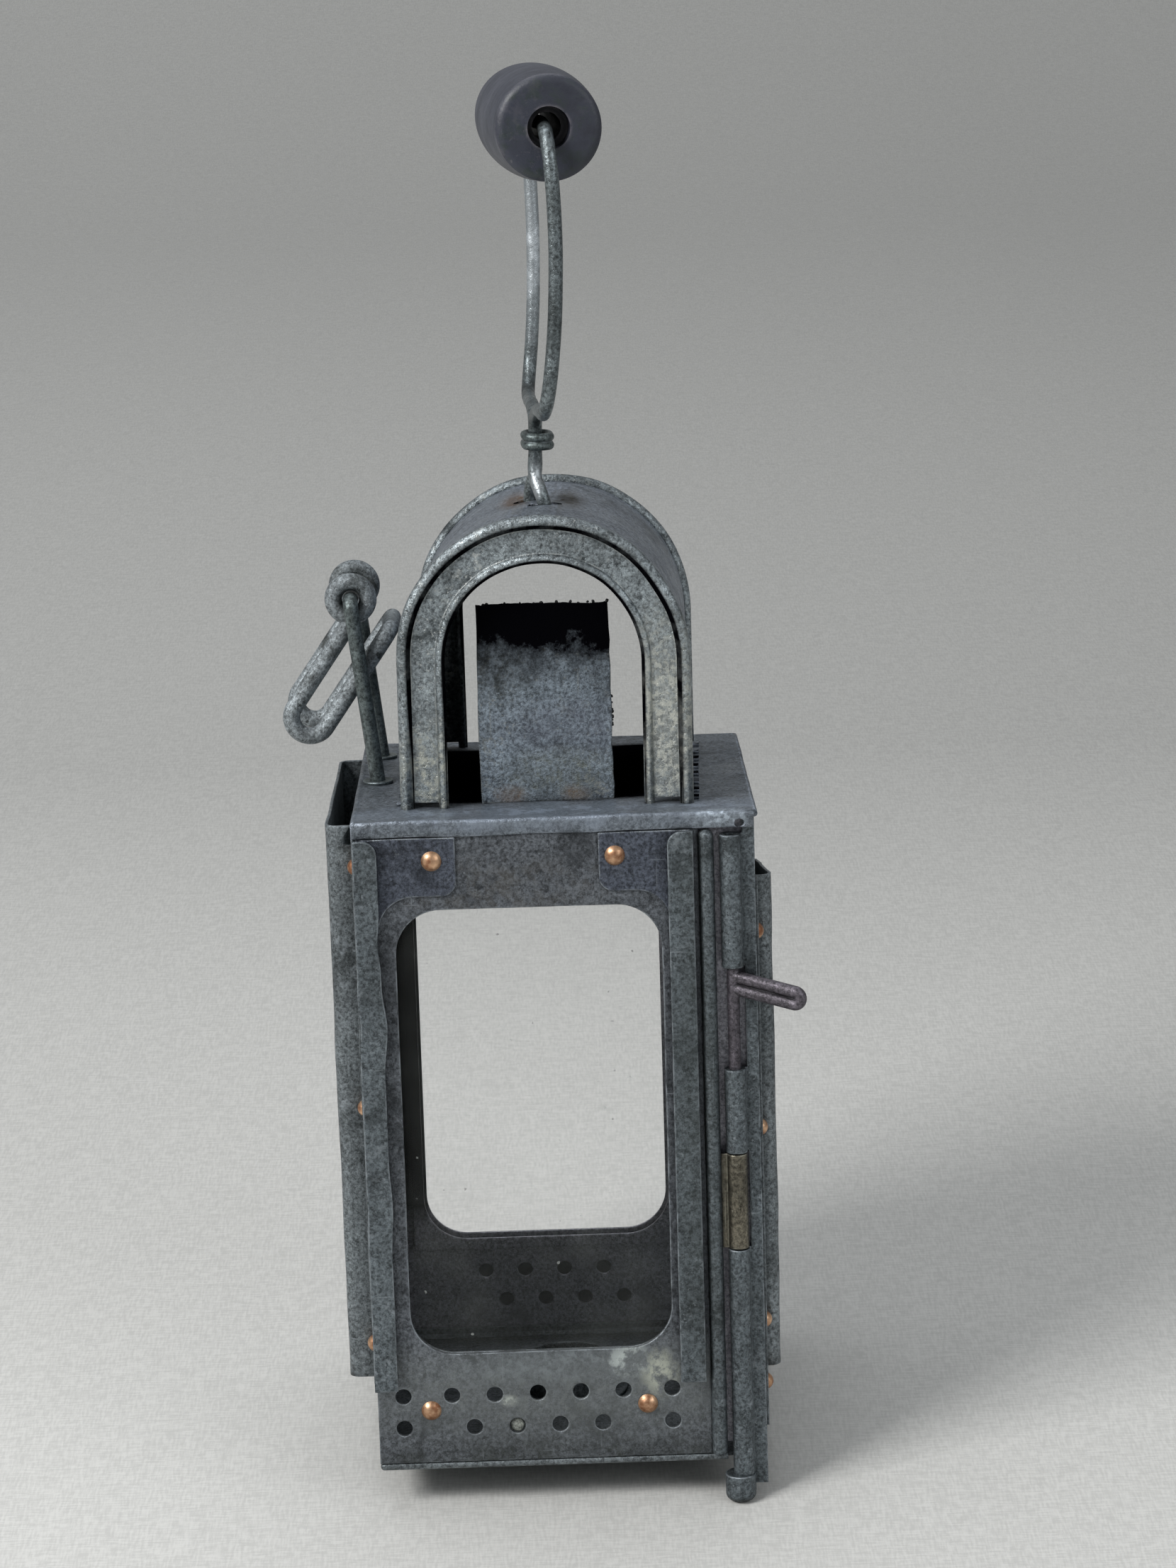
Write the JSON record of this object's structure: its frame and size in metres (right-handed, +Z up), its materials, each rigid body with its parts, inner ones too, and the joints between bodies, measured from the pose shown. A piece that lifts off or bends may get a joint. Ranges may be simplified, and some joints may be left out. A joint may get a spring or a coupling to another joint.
{
  "type": "candle lantern",
  "caption": "Square sheet-steel hand lantern with two glazed windows, side door on a pinned hinge with a sliding bolt, arched hood, swinging wire bail with a grip and belt hook.",
  "frame": {"origin": "centre of the base's flat underside", "axes": "+Z up, -Y out of the front window, +X towards the hinged door"},
  "size_m": [0.1107, 0.0939, 0.3072],
  "materials": {
    "sheet_steel": "dull, worn grey-blue sheet",
    "trim_steel": "dull grey sheet trim",
    "wire_steel": "dull steel wire",
    "copper": "bright copper rivets",
    "glass": "clear glass",
    "grip": "dark blue satin grip"
  },
  "bodies": {
    "lantern": {"base_tray": "sheet_steel", "floor_lugs": "trim_steel", "front_panel": "sheet_steel", "back_panel": "sheet_steel", "left_wall": "sheet_steel", "front_post": "trim_steel", "latch_knuckle": "trim_steel", "door_jamb": "trim_steel", "back_vent_guard": "trim_steel", "left_guide": "trim_steel", "right_guide": "trim_steel", "left_gusset": "trim_steel", "right_gusset": "trim_steel", "front_rivets": "copper", "left_pocket": "sheet_steel", "left_rivets": "copper", "roof_plate": "sheet_steel", "hood_strip": "sheet_steel", "hood_front_frame": "sheet_steel", "hood_back_frame": "sheet_steel", "baffle": "sheet_steel", "front_glass": "glass", "back_glass": "glass", "front_pane_frame": "trim_steel", "back_pane_frame": "trim_steel", "candle_cup": "trim_steel", "hinge_pin": "wire_steel", "hook_staple": "wire_steel", "staple_washers": "wire_steel"},
    "door": {"door_panel": "sheet_steel", "door_foot": "trim_steel", "door_pocket": "sheet_steel", "door_rivets": "copper"},
    "latch": {"latch_bolt": "wire_steel"},
    "bail": {"bail_wire": "wire_steel", "bail_collar": "wire_steel"},
    "grip": {"grip": "grip"},
    "hook": {"belt_hook": "wire_steel"}
  },
  "joints": [
    {"name": "door_hinge", "type": "hinge", "parent": "lantern", "child": "door", "pos_m": [0.0397, 0.0397, 0.07], "axis": [0, 0, 1], "range_deg": [0, 110]},
    {"name": "latch_slide", "type": "slide", "parent": "door", "child": "latch", "axis": [0, 0, 1], "range_m": [-0.0155, 0]},
    {"name": "bail_swing", "type": "hinge", "parent": "lantern", "child": "bail", "pos_m": [-0.0013, 0, 0.2044], "axis": [-0.342, 0.9397, 0], "range_deg": [-42, 42]},
    {"name": "grip_spin", "type": "hinge", "parent": "bail", "child": "grip", "pos_m": [0.00098, 0.00016, 0.28622], "axis": [-0.0698, 0.9976, 0], "continuous": true},
    {"name": "hook_swing", "type": "hinge", "parent": "lantern", "child": "hook", "pos_m": [-0.04278, 0.013, 0.18424], "axis": [0, 1, 0], "range_deg": [-30, 120]}
  ]
}
